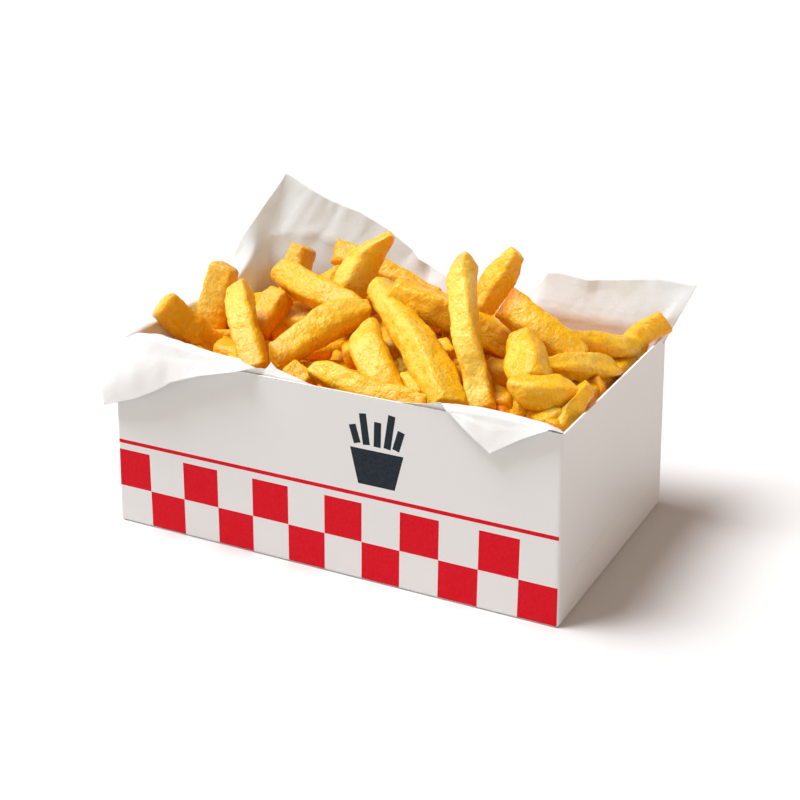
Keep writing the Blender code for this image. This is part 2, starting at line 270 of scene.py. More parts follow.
def bar_mask(shade, across, up, centre, half, turn):
    """1 inside a turned rectangle."""
    over = shade.math("SUBTRACT", across, centre[0])
    rise = shade.math("SUBTRACT", up, centre[1])
    cos, sin = math.cos(turn), math.sin(turn)
    side = shade.math("ADD", shade.math("MULTIPLY", over, cos), shade.math("MULTIPLY", rise, -sin))
    along = shade.math("ADD", shade.math("MULTIPLY", over, sin), shade.math("MULTIPLY", rise, cos))
    inside_side = shade.math("LESS_THAN", shade.math("ABSOLUTE", side), half[0])
    inside_along = shade.math("LESS_THAN", shade.math("ABSOLUTE", along), half[1])
    return shade.math("MULTIPLY", inside_side, inside_along)


def sign_mask(shade, across, up):
    """A plain sign: a cup that narrows to its foot, with sticks standing out of it."""
    x, z = SIGN_PLACE
    cup_height, low_half, high_half = SIGN_CUP
    rise = shade.math("SUBTRACT", up, z)
    half = shade.ramp(rise, 0.0, cup_height, low_half, high_half, smooth=False)
    inside = shade.math("LESS_THAN", shade.math("ABSOLUTE", shade.math("SUBTRACT", across, x)), half)
    level = shade.math("COMPARE", rise, cup_height / 2, cup_height / 2)
    mask = shade.math("MULTIPLY", inside, level)
    for offset, length, degrees in SIGN_STICKS:
        turn = math.radians(degrees)
        half_long = length * MM / 2
        centre = (x + offset * MM + math.sin(turn) * half_long, z + cup_height + 1.4 * MM + half_long)
        stick = bar_mask(shade, across, up, centre, (SIGN_STICK_WIDTH / 2, half_long), turn)
        mask = shade.math("MAXIMUM", mask, stick)
    return mask


def flap_relief(shade, place):
    """1 where the glue flap lies inside an end wall, 0 past its outline."""
    axes = shade.node("ShaderNodeSeparateXYZ", Vector=place).outputs
    over = shade.math("MAXIMUM", shade.math("SUBTRACT", axes["Y"], FLAP_END - FLAP_CORNER), 0.0)
    under = shade.math("MAXIMUM", shade.math("SUBTRACT", FLAP_FOOT + FLAP_CORNER, axes["Z"]), 0.0)
    away = shade.math("SQRT", shade.math("ADD", shade.math("POWER", over, 2.0), shade.math("POWER", under, 2.0)))
    inside = shade.ramp(away, FLAP_CORNER + 0.5 * MM, FLAP_CORNER - 0.5 * MM)
    at_end = shade.math("GREATER_THAN", shade.math("ABSOLUTE", axes["X"]), LENGTH / 2 - 2 * MM)
    return shade.math("MULTIPLY", inside, at_end)


def board_material():
    shade = Shade("printed board")
    place = shade.place()
    red, dark = board_print(shade, place)
    cloud = shade.noise(place, 30 * MM, 2.0)
    fibre = shade.noise(place, 0.5 * MM, 3.0, 0.6)
    white = shade.mix(shade.ramp(cloud, 0.3, 0.7), BOARD_WHITE, [0.985 * c for c in BOARD_WHITE])
    worn = shade.ramp(fibre, 0.35, 0.75, 1.0, 0.985)
    inked = shade.mix(shade.math("MULTIPLY", red, worn), white, INK_RED)
    inked = shade.mix(shade.math("MULTIPLY", dark, worn), inked, INK_DARK)
    up = shade.node("ShaderNodeSeparateXYZ", Vector=place).outputs["Z"]
    # The cut top edge is the board's raw edge, painted lighter as a painted highlight along the rim.
    cut = shade.math("GREATER_THAN", up, HEIGHT - 0.05 * MM)
    shade.feed(shade.shader.inputs["Base Color"], shade.mix(cut, inked, BOARD_EDGE_HIGHLIGHT))
    shade.feed(shade.shader.inputs["Roughness"], shade.ramp(fibre, 0.3, 0.7, 0.36, 0.48))
    inks = shade.math("MAXIMUM", red, dark)
    shade.feed(shade.shader.inputs["Specular IOR Level"], shade.math("MULTIPLY_ADD", inks, -0.32, 0.4))
    relief = shade.bump(flap_relief(shade, place), FLAP_STEP)
    shade.feed(shade.shader.inputs["Normal"], shade.bump(fibre, 0.01 * MM, 1.0, relief))
    return shade.material


def finish_carton():
    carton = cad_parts["carton"]
    carton.data.materials.clear()
    carton.data.materials.append(board_material())


# ---------------------------------------------------------------- paper

# The paper going round the rim from the middle of the front to the right, in mm: (side, place along
# it, how far the paper bows in from the wall, height above the rim where it bends, where the sheet's
# edge is). The edge runs straight from one place to the next. At a corner the place is in degrees.
PAPER_EDGE = [
    ("front", 0, 0, -3.0, (0, -45.4, 60)),
    ("front", 20, 0, -2.0, (20, -45.4, 60.3)),
    ("front", 30, 0, -0.4, (33, -45.8, 62)),
    ("front", 37, 0, 0.8, (39, -46.6, 63.8)),
    ("front", 46, 0, 1.7, (47.5, -48.0, 58)),
    ("front", 55, 0, 1.7, (55.4, -48.0, 51.9)),
    ("front", 65, 0, 1.5, (65, -48.0, 58.2)),
    ("front", 70.5, 0, 0.8, (73.5, -48.2, 62.8)),
    ("front right corner", 50, 0, -1.0, (76, -45, 61)),
    ("right", -38, 0, -6.0, (76.2, -38, 57)),
    ("right", 36, 1, -6.0, (76.2, 36, 57)),
    ("back right corner", 10, 1, -5.0, (76.4, 42.5, 58)),
    ("back right corner", 55, 1, -1.0, (83.8, 52, 76.8)),
    ("back", 68, 1, -1.0, (71.5, 51.5, 77.5)),
    ("back", 51, 1, -1.0, (51.5, 50.5, 74.6)),
    ("back", 47, 1, -0.5, (48, 48.8, 74.5)),
    ("back", 37, 1, -1.0, (37, 51, 74.7)),
    ("back", 32.5, 1, -1.0, (33, 50.5, 74.3)),
    ("back", 28, 2, -1.0, (28.5, 49.5, 67.5)),
    ("back", 22, 3, -2.0, (21, 46.2, 60.6)),
    ("back", 6, 3, -2.0, (7, 46.4, 61)),
    ("back", -2, 3, 0.0, (-4.2, 49.2, 67.2)),
    ("back", -10, 3, 1.5, (-11, 49.4, 70.7)),
    ("back", -13, 3, 4.5, (-13.8, 47.6, 72.9)),
    ("back", -20, 3, 6.5, (-17.6, 49, 75.8)),
    ("back", -29, 3, 9.0, (-27.9, 49, 82.3)),
    ("back", -41, 3, 11.5, (-38.3, 49, 86.8)),
    ("back", -54, 3, 15.0, (-50.3, 49, 89.7)),
    ("back left corner", 40, 0, 13.0, (-68.2, 49, 97.5)),
    ("left", 37, 0, 8.0, (-81.2, 38.5, 74.2)),
    ("left", 30, 4, 4.0, (-81.2, 30.6, 67.6)),
    ("left", 26, 5, 1.8, (-81.2, 26.6, 63)),
    ("left", 18, 6, 0.5, (-80.6, 18, 58)),
    ("left", -30, 6, 0.8, (-80.6, -30, 50)),
    ("front left corner", 10, 3, 0.2, (-81.2, -41, 43)),
    ("front left corner", 55, 0, 0.6, (-80, -48.2, 41.6)),
    ("front", -66, 0, 4.2, (-66, -49.8, 47)),
    ("front", -57, 0, 5.0, (-57.2, -49.8, 51.6)),
    ("front", -52, 0, 4.4, (-52.4, -49.6, 54.7)),
    ("front", -42, 0, 3.2, (-41.8, -49.4, 58.6)),
    ("front", -30, 0, 2.6, (-28, -49, 62.4)),
    ("front", -24, 0, 0.8, (-24, -46.4, 63.2)),
    ("front", -21, 1, 0.2, (-21, -44, 62.9)),
    ("front", -19.2, 1, 0.2, (-19.4, -43.6, 65.2)),
    ("front", -17.4, 1, 0.0, (-17.4, -43.6, 63.4)),
    ("front", -4, 0, -1.5, (-3.8, -44.6, 60.6)),
]
PAPER_STEP = 1.0 * MM
PAPER_THICK = 0.1 * MM
CORNER_RADIUS = 6 * MM
CORNER_STEPS = 12
FLOOR_RADIUS = 4 * MM
HANG_RADIUS = 1.4 * MM
STAND_RADIUS = 9 * MM
STAND_HEIGHTS = (4 * MM, 12 * MM)
FLOOR_UP = 1.1 * MM
WALL_ROWS = 16
FREE_ROWS = 26
BEND_ROWS = 8
LEAST_TURN = math.radians(3)
HANG_BELLY = 0.12
HANG_LENGTHS = (9 * MM, 18 * MM)
STAND_BELLY = 0.03
WALL_CLEAR_X = 1.5 * MM
WALL_CLEAR_Y = 1.0 * MM
HANG_GLOW = 0.1
STAND_GLOW = 0.38
CLEAR_HEIGHT = 5 * MM
STAND_FULL = 17 * MM
PAPER_WHITE = (0.94, 0.945, 0.945)
PAPER_CLOUD = (0.91, 0.91, 0.905)
# Painted shade: the darker, cooler paper colour of the standing flaps.
PAPER_PAINTED_SHADE = (0.825, 0.862, 0.87)


def perimeter(step_size):
    """Points round the inside of the carton at its foot, as (point, outward normal, side, place).

    They go round from the left end of the front, to the right, on a rectangle with round corners.
    """
    half_x = LENGTH / 2 - WALL_CLEAR_X
    half_y = WIDTH / 2 - WALL_CLEAR_Y
    flat_x = half_x - CORNER_RADIUS
    flat_y = half_y - CORNER_RADIUS
    sides = (
        ("front", "front right corner", (0, -1), (1, 0), flat_x, flat_y),
        ("right", "back right corner", (1, 0), (0, 1), flat_y, flat_x),
        ("back", "back left corner", (0, 1), (-1, 0), flat_x, flat_y),
        ("left", "front left corner", (-1, 0), (0, -1), flat_y, flat_x),
    )
    found = []
    for name, corner, normal, along, reach, away in sides:
        normal = Vector((*normal, 0))
        along = Vector((*along, 0))
        steps = round(2 * reach / step_size)
        for step in range(steps + 1):
            place = reach * (2 * step / steps - 1)
            point = along * place + normal * (away + CORNER_RADIUS)
            found.append((point, normal, name, place * (along.x + along.y) / MM))
        centre = along * reach + normal * away
        for step in range(1, CORNER_STEPS):
            degrees = 90 * step / CORNER_STEPS
            turn = math.radians(degrees)
            out = normal * math.cos(turn) + along * math.sin(turn)
            found.append((centre + out * CORNER_RADIUS, out, corner, degrees))
    return found


def walk_length(points):
    """The distance along a line of points, from the first one."""
    walked = [0.0]
    for before, after in zip(points, points[1:]):
        walked.append(walked[-1] + (after - before).length)
    return walked


def paper_edge_along(loop, walked):
    """How far the paper bows in, where it bends and where its edge is, at each point of the loop."""
    total = walked[-1] + (loop[0][0] - loop[-1][0]).length
    knots = []
    for side, place, bow, height, edge in PAPER_EDGE:
        on_side = [
            (abs(here - place), distance)
            for (_, _, name, here), distance in zip(loop, walked)
            if name == side
        ]
        knots.append((min(on_side)[1], bow, height, *edge))
    knots.sort()
    knots = np.array(knots)
    found = [np.interp(walked, knots[:, 0], knots[:, k] * MM, period=total) for k in range(1, 6)]
    return found[0], found[1], np.stack(found[2:], axis=1)


def bend_radius(up):
    """The paper bends sharply where its edge hangs and softly where it stands this far up."""
    low, high = STAND_HEIGHTS
    return HANG_RADIUS + (STAND_RADIUS - HANG_RADIUS) * min(max((up - low) / (high - low), 0.0), 1.0)


def fold_over(out, up, radius):
    """(angle turned, straight length after it) of a bend from (0, 0), going up, that ends at (out, up)."""
    far = math.hypot(out - radius, up)
    straight = math.sqrt(max(far * far - radius * radius, 0.0))
    turned = math.atan2(up, radius - out) % (2 * math.pi) - math.atan2(straight, radius)
    return max(turned, LEAST_TURN), straight


def column_points(point, normal, bow, height, edge):
    """The paper's section at one point of the perimeter, from the floor to the sheet's edge."""
    placed = [point - normal * 40 * MM, point - normal * 20 * MM]
    for step in range(5):
        turn = math.radians(90 * step / 4)
        placed.append(point - normal * FLOOR_RADIUS * (1 - math.sin(turn)))
        placed[-1].z = FLOOR_RADIUS * (1 - math.cos(turn))
    for foot in placed:
        foot.z += FLOOR_UP
    low = FLOOR_UP + FLOOR_RADIUS
    bend_up = HEIGHT + height
    for step in range(1, WALL_ROWS + 1):
        share = (step / WALL_ROWS) ** 0.6
        z = low + (bend_up - low) * share
        inward = LEAN * min(z, HEIGHT) / HEIGHT + bow * math.sin(math.pi * share * share)
        placed.append(point - normal * inward + Vector((0, 0, z)))
    bend = placed[-1]
    reach = Vector(edge) - bend
    out = reach.dot(normal)
    along = reach - normal * out
    along.z = 0.0
    radius = bend_radius(reach.z)
    turned, straight = fold_over(out, reach.z, radius)
    whole = turned * radius + straight
    line = []
    for step in range(1, BEND_ROWS + 1):
        turn = turned * step / BEND_ROWS
        line.append((radius * (1 - math.cos(turn)), radius * math.sin(turn), turn * radius))
    last_out, last_up, walked = line[-1]
    short, long = HANG_LENGTHS
    slack = HANG_BELLY * min(max((straight - short) / (long - short), 0.0), 1.0)
    belly = straight * math.cos(turned) * (STAND_BELLY if turned < math.pi / 2 else -slack)
    for step in range(1, FREE_ROWS + 1):
        share = step / FREE_ROWS
        far = last_out + (out - last_out) * share + belly * math.sin(math.pi * share)
        line.append((far, last_up + (reach.z - last_up) * share, walked + straight * share))
    for far, rise, walked in line:
        placed.append(bend + normal * far + Vector((0, 0, rise)) + along * (walked / whole))
    return placed


def crease(u, v, size, seed):
    """Soft paper creases: rounded swells, 0 to 1, that meet in sharp valleys, size metres apart."""
    return abs(noise.noise(Vector((u / size, v / size, seed))))


def crumple(u, v):
    """How far the loose paper swells from its smooth shape, in metres."""
    broad = crease(u, v * 0.5, 14 * MM, 3.1) * 1.5
    narrow = crease(u + v * 0.25, v * 0.45, 6.5 * MM, 8.7) * 0.7
    return (broad + narrow) * MM


def paper_material():
    shade = Shade("greaseproof paper")
    place = shade.place()
    cloud = shade.noise(place, 12 * MM, 3.0)
    fibre = shade.noise(place, 0.35 * MM, 3.0, 0.65)
    stands = shade.attribute("stands")
    lying = shade.mix(shade.ramp(cloud, 0.3, 0.7), PAPER_WHITE, PAPER_CLOUD)
    # Painted shade: where the paper stands, it takes the darker, cooler paper colour.
    colour = shade.mix(stands, lying, PAPER_PAINTED_SHADE)
    shade.feed(shade.shader.inputs["Base Color"], colour)
    shade.feed(shade.shader.inputs["Roughness"], 0.5)
    shade.feed(shade.shader.inputs["Specular IOR Level"], 0.35)
    wrinkle = shade.noise(place, 4 * MM, 3.0, 0.6)
    ridge = shade.math("ABSOLUTE", shade.math("SUBTRACT", wrinkle, 0.5))
    relief = shade.bump(ridge, 0.5 * MM, 0.6)
    relief = shade.bump(fibre, 0.02 * MM, 0.5, relief)
    shade.feed(shade.shader.inputs["Normal"], relief)
    glow = shade.node("ShaderNodeBsdfTranslucent", Color=colour, Normal=relief)
    both = shade.node("ShaderNodeMixShader")
    shade.feed(both.inputs[0], shade.ramp(stands, 0.0, 1.0, HANG_GLOW, STAND_GLOW, smooth=False))
    shade.feed(both.inputs[1], shade.shader.outputs[0])
    shade.feed(both.inputs[2], glow.outputs[0])
    shade.feed(shade.output.inputs["Surface"], both.outputs[0])
    return shade.material


def make_paper():
    loop = perimeter(PAPER_STEP)
    walked = walk_length([point for point, *_ in loop])
    bows, heights, edges = paper_edge_along(loop, walked)
    columns = []
    for (point, normal, _, _), bow, height, edge in zip(loop, bows, heights, edges):
        columns.append(column_points(point, normal, bow, height, edge))
    grid = np.array([[tuple(co) for co in column] for column in columns])
    around = np.roll(grid, -1, axis=0) - np.roll(grid, 1, axis=0)
    along = np.gradient(grid, axis=1)
    normals = np.cross(along, around)
    normals /= np.linalg.norm(normals, axis=2, keepdims=True)
    rows = grid.shape[1]
    for i, start in enumerate(walked):
        lengths = walk_length([Vector(co) for co in grid[i]])
        hangs = edges[i][2] < HEIGHT
        for j in range(rows):
            loose = min(max((grid[i, j, 2] - HEIGHT + 1 * MM) / (6 * MM), 0.0), 1.0)
            hanging = 0.6 * min(max((j - rows + FREE_ROWS) / 8, 0.0), 1.0) if hangs else 0.0
            grid[i, j] += normals[i, j] * crumple(start, lengths[j]) * max(loose, hanging)
    count = len(columns)
    points = [tuple(co) for co in grid.reshape(-1, 3)]
    faces = []
    for i in range(count):
        after = (i + 1) % count
        for j in range(rows - 1):
            faces.append((i * rows + j, after * rows + j, after * rows + j + 1, i * rows + j + 1))
    free = np.clip((np.arange(rows) - rows + FREE_ROWS) / 6, 0, 1)[None, :]
    clear = np.clip((grid[:, :, 2] - HEIGHT) / CLEAR_HEIGHT, 0, 1)
    stands = np.maximum(free, clear) * np.clip((edges[:, 2] - HEIGHT) / STAND_FULL, 0, 1)[:, None]
    middle = len(points)
    points.append((0.0, 0.0, FLOOR_UP))
    for i in range(count):
        faces.append((i * rows, middle, ((i + 1) % count) * rows))
    paper = add_mesh("paper_liner", points, faces, paper_material())
    layer = paper.data.attributes.new("stands", "FLOAT", "POINT")
    layer.data.foreach_set("value", np.append(stands.ravel(), 0.0))
    body = paper.modifiers.new("sheet", "SOLIDIFY")
    body.thickness = PAPER_THICK
    body.offset = 0.0
    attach(paper, "root")
    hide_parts("liner")


# ---------------------------------------------------------------- fries

# A fry's middle line is a few points (x, y, z, thickness), in mm, and it is straight or softly bent
# between them. Roll turns its section: at 0 its faces look up and sideways, at 45 an edge is on top.
# A cut is a plane that trims an end: (which end, the way it faces, how far back it crosses the middle,
# in mm). Toast says how brown the first and the last end are, and pale how much paler the whole fry is.
# The low pale values, on the low fries between and under the upper ones, paint them darker as painted shade.
Fry = collections.namedtuple("Fry", "path roll cuts toast pale", defaults=(0, (), (0.3, 0.3), 0))

FRONT_FRIES = [
    Fry(
        [(-56, -11, 47, 10.5), (-66, -18, 60, 10.5), (-73, -25.5, 71, 10.5)],
        -27,
        [(1, (-0.74, -0.44, 0.51), 0.5)],
        (0.2, 0.2),
        0.2,
    ),
    Fry(
        [(-31, -33, 55, 9), (-38, -26.5, 62, 9), (-44, -20, 68, 8.5), (-51.5, -10, 74.5, 7.5)],
        30,
        [],
        (0.2, 0.1),
        0.5,
    ),
    Fry(
        [(-25, -34, 61, 9), (-20, -25, 65.5, 9.5), (-14.5, -15, 69.5, 10), (-9, -7.5, 72, 8), (-6, -3.5, 73, 4)],
        -33,
        [(0, (-0.6, -0.79, -0.14), 0.5)],
        (0.7, 0),
        0,
    ),
    Fry([(-19, -34.5, 60.5, 6.5), (-9, -36.5, 56.5, 6.5)], -30, [], (0.2, 0.4), 0.2),
    Fry(
        [(-11, -35.5, 62, 4.5), (-5, -35.5, 61, 7), (7.5, -37, 59, 8), (21, -36, 58.5, 6.5), (31, -36, 58, 4.5)],
        41,
        [],
        (0.1, 0.1),
        0.4,
    ),
    Fry(
        [(18, -35, 56, 10), (10.5, -30, 62.5, 11), (3.5, -23.5, 68, 10), (1, -15.5, 74.5, 2)],
        29,
        [],
        (0.4, 0.2),
        0.3,
    ),
    Fry(
        [(-8, 5.5, 76.5, 8.5), (5, -7.5, 73, 9.5), (20, -21, 69, 10.5), (28.5, -28.5, 64, 11), (37.5, -37, 56.5, 10.5)],
        22,
        [],
        (0, 0),
        0.5,
    ),
    Fry(
        [(46, -30.5, 55, 9), (40.5, -24.5, 64, 9), (36.5, -22, 72, 8.5), (32.5, -16, 80, 8.5), (28, -8, 88, 9), (26, -3, 95.5, 8.5)],
        -56,
        [(1, (0.67, 0.44, 0.59), -1.2), (1, (-0.69, -0.29, 0.66), -0.4)],
        (0, 0.5),
        1.2,
    ),
    Fry([(56.5, -29, 62, 4), (59, -32, 57, 4.5)], -2, [], (0, 0), 0),
    Fry(
        [(53.5, -34, 68.5, 1.5), (57, -32.5, 67, 6.5), (64.5, -29, 65, 10), (69.5, -21.5, 61.5, 10)],
        -7,
        [],
        (0.2, 0),
        0,
    ),
    Fry([(58, -24.5, 58, 9), (70.5, -34.5, 58, 8.5)], -27, [], (0, 0), 0),
    Fry(
        [(69, -34, 54, 10.5), (69, -27, 60, 11.5), (74.5, -22.5, 69, 8)],
        12,
        [(1, (-0.71, -0.16, 0.69), 1.5), (1, (0.72, 0.48, 0.5), -1.5)],
        (0, 0.2),
        0.2,
    ),
]
MIDDLE_FRIES = [
    Fry(
        [(-69, -3, 45, 10.5), (-69, 2, 61, 10.5), (-67.5, 6.5, 76.5, 9.5)],
        -13,
        [(1, (0.47, 0.42, 0.79), 0.5)],
        (0, 0.4),
        0.9,
    ),
    Fry([(-50, -12, 56, 7.5), (-41, -23, 55, 7)], -18, [], (0.3, 0.3), -0.8),
    Fry([(-46, -11, 58, 9), (-46, -1.5, 64, 9.5), (-43.5, 5, 69.5, 8.5)], -6, [], (0.2, 0.3), -0.3),
    Fry([(-45, -7.5, 57, 8.5), (-40, 19, 60, 9)], -21, [], (0.3, 0.3), -0.8),
    Fry(
        [(-48.5, 10, 75, 8), (-36.5, 5, 73, 10), (-23, 1, 71, 10), (-11, -2, 69, 8.5)],
        -41,
        [],
        (0.5, 0),
        -0.2,
    ),
    Fry([(-30.5, -7.5, 57, 8), (-16, 0, 57, 8)], 42, [], (0.3, 0.3), -0.8),
    Fry(
        [(-1, -1.5, 79.5, 10.5), (13.5, -1, 75, 11), (29, 3.5, 69, 10), (43, 3.5, 64, 10)],
        8,
        [(0, (-0.78, -0.25, 0.58), 1)],
        (0.1, 0),
        -0.2,
    ),
    Fry([(21.5, -9.5, 68, 3.5), (28, -16, 66, 4.5)], -7, [], (0.0, 0.0), 0),
    Fry([(37, -9.5, 64, 3), (44, -9.5, 62, 4)], -40, [], (0.0, 0.0), 0),
    Fry(
        [(49, -10.5, 75.5, 7), (53, -17, 71, 11.5), (59.5, -28, 65, 11)],
        -35,
        [(1, (0.17, -0.34, -0.92), 0)],
        (0.2, 0.2),
        0,
    ),
    Fry(
        [(36.5, 1, 80, 10.5), (47, -0.5, 75.5, 11), (57.5, -1, 69.5, 10), (65, 0, 65, 8)],
        -39,
        [(0, (-0.6, -0.54, 0.59), 0.5)],
        (1.6, 0),
        -0.3,
    ),
    Fry(
        [(58.5, -19, 69.5, 2.5), (64.5, -10, 67, 7.5), (70, 2.5, 62.5, 8.5), (71, 13, 57.5, 6.5)],
        -40,
        [],
        (0.1, 0.1),
        0.6,
    ),
    Fry([(17.5, -27.5, 63, 3.5), (26.5, -34, 58.5, 5.5)], -12, [], (0.0, 0.0), 0),
    Fry([(36.5, -6.5, 61, 6), (43, -6, 58, 6)], -40, [], (0.1, 0.1), -1),
    Fry([(71.5, -9, 61, 7), (71.5, -2.5, 57, 6.5)], 33, [], (0.3, 0.3), 0),
]
BACK_FRIES = [
    Fry([(-53.5, 27.5, 62, 9.5), (-53, 34.5, 77.5, 8.5)], 12, [(1, (0.34, 0.33, 0.88), 0.5)], (0, 0.6), 0.8),
    Fry([(-32.5, 17.5, 66, 9), (-37.5, 23, 74, 9)], -5, [(1, (-0.56, -0.44, 0.7), 1)], (0, 0), 0.7),
    Fry(
        [(-39.5, 29.5, 78, 9), (-24.5, 30, 75, 8.5), (-10, 30, 70, 8), (2, 29, 65.5, 8)],
        -40,
        [(0, (-0.7, -0.64, 0.32), 0.5)],
        (0.5, 0),
        0,
    ),
    Fry(
        [(-23.5, 11, 70, 11.5), (-21, 13.5, 76, 11.5), (-17, 16.5, 84, 10), (-12, 18.5, 93, 7.5)],
        42,
        [(1, (-0.41, -0.15, 0.9), 5)],
        (0, 0.1),
        0.9,
    ),
    Fry(
        [(23.5, 15, 70, 7.5), (29.5, 16.8, 80.5, 8.8), (35.5, 18.5, 91.5, 5.5)],
        40,
        [(1, (0.6, 0.4, 0.7), 0.5)],
        (0, 0.1),
        0.4,
    ),
    Fry(
        [(55.5, 2.5, 71, 3), (62, 12, 67, 6.5), (69, 23, 62.5, 8), (71, 33.5, 58.5, 6)],
        -41,
        [],
        (0, 0.1),
        0.5,
    ),
    Fry(
        [(70, 28, 55, 8.5), (70.5, 35, 62, 8.5), (79, 40, 68.5, 8.5)],
        19,
        [(1, (0.64, 0.39, 0.66), 0.3)],
        (0, 0.3),
        -1.5,
    ),
]
# Lower fries carry the upper ones and show between them, at the sides and at the back.
LOWER_FRIES = [
    Fry([(-66, 14, 56, 9), (-50, 36, 60, 9)]),
    Fry([(-30, 37, 60, 9), (-8, 37, 62, 9), (14, 35, 62, 7)]),
    Fry([(0, 20, 62, 9.5), (34, 36, 58, 9.5)]),
    Fry([(28, 36, 56, 9), (64, 35, 53, 9)]),
    Fry([(-62, -35, 52, 9), (-36, -37, 54, 9)]),
    Fry([(-64, 36, 54, 9), (-30, 24, 61, 9)]),
    Fry([(16, 2, 64, 9.5), (50, 20, 61, 9.5)]),
    Fry([(-20, 32, 62, 9), (-34, 10, 62, 9)]),
    Fry([(-62, 2, 56, 9), (-28, 5, 60, 9)]),
    Fry([(46, 22, 60, 9), (20, 39, 59, 9)]),
    Fry([(-8, -20, 61, 9), (14, -6, 64, 9)]),
    Fry([(-60, -20, 53, 8), (-68, -35, 51, 8)]),
    Fry([(34, -16, 61, 9), (62, 2, 60, 9)]),
    Fry([(68, 10, 54, 8.5), (64, -12, 58, 8.5)]),
    Fry([(-2, 32, 63, 9), (8, 8, 66, 9)]),
    Fry([(-68, 6, 54, 8.5), (-56, 22, 59, 8.5)]),
    Fry([(69, -38, 56.5, 9), (69.5, -6, 58, 9)]),
    Fry([(69.5, -2, 57, 9), (69, 34, 56, 9)]),
]

# Sides that face this way are painted palest as painted light from the key, and the sides facing away, which lay on
# other fries, are painted more orange as painted shade.
PAINTED_LIGHT_SIDE = np.array([-0.3, -0.65, 0.7])
# Painted shade deep in the heap: a point's tone drops by one for each this much depth under the top of the heap.
PAINTED_SHADE_DEPTH = 6 * MM
HEAP_TOP = 63 * MM
HEAP_FALL = 7 * MM
RIM_RADIUS = 1.8 * MM
CAP_SHARES = (0.3, 0.6, 0.85)
CUT_ROUNDING = 0.65 * MM
LUMP_SIZE = 9 * MM
LUMP_DEPTH = 0.7 * MM
GRAIN_SIZE = 2.0 * MM
GRAIN_DEPTH = 0.22 * MM
SHARP_CORNERS = 0.26
SOFT_CORNERS = 0.95
TOAST_REACH = 9 * MM


def smooth_path(controls):
    """(distance walked, points with their thickness, length) of a soft curve through the controls."""
    controls = np.array(controls, float) * MM
    if len(controls) == 2:
        controls = np.array([controls[0], controls.mean(axis=0), controls[1]])
    spans = np.linalg.norm(np.diff(controls[:, :3], axis=0), axis=1)
    at = np.concatenate([[0], np.cumsum(spans)])
    slopes = np.gradient(controls, at, axis=0)
    dense = np.linspace(0, at[-1], 160)
    which = np.clip(np.searchsorted(at, dense, side="right") - 1, 0, len(at) - 2)
    width = at[which + 1] - at[which]
    t = ((dense - at[which]) / width)[:, None]
    width = width[:, None]
    low, high = controls[which], controls[which + 1]
    curve = (2 * t**3 - 3 * t**2 + 1) * low + (t**3 - 2 * t**2 + t) * width * slopes[which]
    curve += (3 * t**2 - 2 * t**3) * high + (t**3 - t**2) * width * slopes[which + 1]
    walked = np.concatenate([[0], np.cumsum(np.linalg.norm(np.diff(curve[:, :3], axis=0), axis=1))])
    return walked, curve, walked[-1]


def rounded_square(count, rounding):
    """Points evenly round a square of half side 1 whose corners are rounded by this share of it."""
    angle = np.linspace(0, 2 * math.pi, 720, endpoint=False)
    far = np.stack([np.cos(angle), np.sin(angle)], axis=1) * 2
    core = np.clip(far, rounding - 1, 1 - rounding)
    away = far - core
    ring = core + rounding * away / np.linalg.norm(away, axis=1, keepdims=True)
    closed = np.concatenate([ring, ring[:1]])
    walked = np.concatenate([[0], np.cumsum(np.linalg.norm(np.diff(closed, axis=0), axis=1))])
    at = np.linspace(0, walked[-1], count, endpoint=False)
    return np.stack([np.interp(at, walked, closed[:, axis]) for axis in (0, 1)], axis=1)


